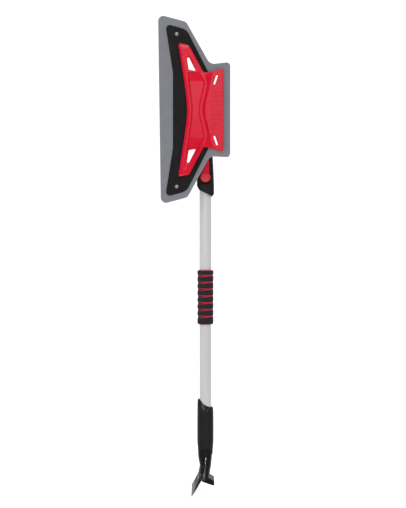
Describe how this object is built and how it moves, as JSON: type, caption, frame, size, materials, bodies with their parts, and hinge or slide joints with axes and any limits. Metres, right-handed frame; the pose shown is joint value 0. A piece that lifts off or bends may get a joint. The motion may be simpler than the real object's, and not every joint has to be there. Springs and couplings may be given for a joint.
{
  "type": "windshield ice scraper",
  "caption": "Car snow pusher and ice scraper: a shaped foam head that turns on the end of an aluminium tube, with a foam hand grip and a moulded scraper blade at the other end.",
  "frame": {"origin": "on the tube's axis, half way along the foam hand grip", "axes": "+Z along the tube from the scraper towards the head; -Y out of the head's face; -X out of the head's working edge when the head is folded along the tube"},
  "size_m": [0.1533, 0.1044, 1.0218],
  "materials": {
    "satin_aluminium": "satin anodised",
    "rivet_aluminium": "plain",
    "screw_steel": "zinc plated",
    "grip_foam": "closed-cell foam in black and red layers",
    "grey_foam": "closed-cell foam, matt",
    "black_sheet": "fine matt",
    "red_moulding": "semi-gloss moulded",
    "black_moulding": "fine spark texture",
    "gloss_black": "high gloss",
    "soft_black": "matt soft touch"
  },
  "bodies": {
    "handle": {"tube": "satin_aluminium", "foam_grip": "grip_foam", "head_arm": "black_moulding", "tube_screws": "screw_steel", "scraper_sleeve": "soft_black", "scraper_head": "gloss_black", "button_spring": "screw_steel", "nut_washer": "screw_steel", "pivot_cap": "black_moulding"},
    "head": {"foam_board": "grey_foam", "front_sheet": "black_sheet", "rear_sheet": "black_sheet", "front_frame": "red_moulding", "rear_frame": "red_moulding", "end_rivets": "rivet_aluminium", "rivet_washers": "rivet_aluminium", "frame_screws": "screw_steel", "index_disc": "black_moulding", "disc_screws": "screw_steel", "pivot_bolt": "screw_steel", "bolt_washer": "screw_steel", "pivot_nut": "screw_steel"},
    "button": {"release_button": "red_moulding", "lock_bolt": "screw_steel"}
  },
  "joints": [
    {"name": "head_pivot", "type": "hinge", "parent": "handle", "child": "head", "pos_m": [0, 0, 0.4015], "axis": [0, 1, 0], "range_deg": [0, 90]},
    {"name": "release_slide", "type": "slide", "parent": "handle", "child": "button", "axis": [0, 0, -1], "range_m": [0, 0.007], "stiffness_N_per_m": 700, "springref_m": -0.006, "deforming": ["button_spring"]}
  ]
}
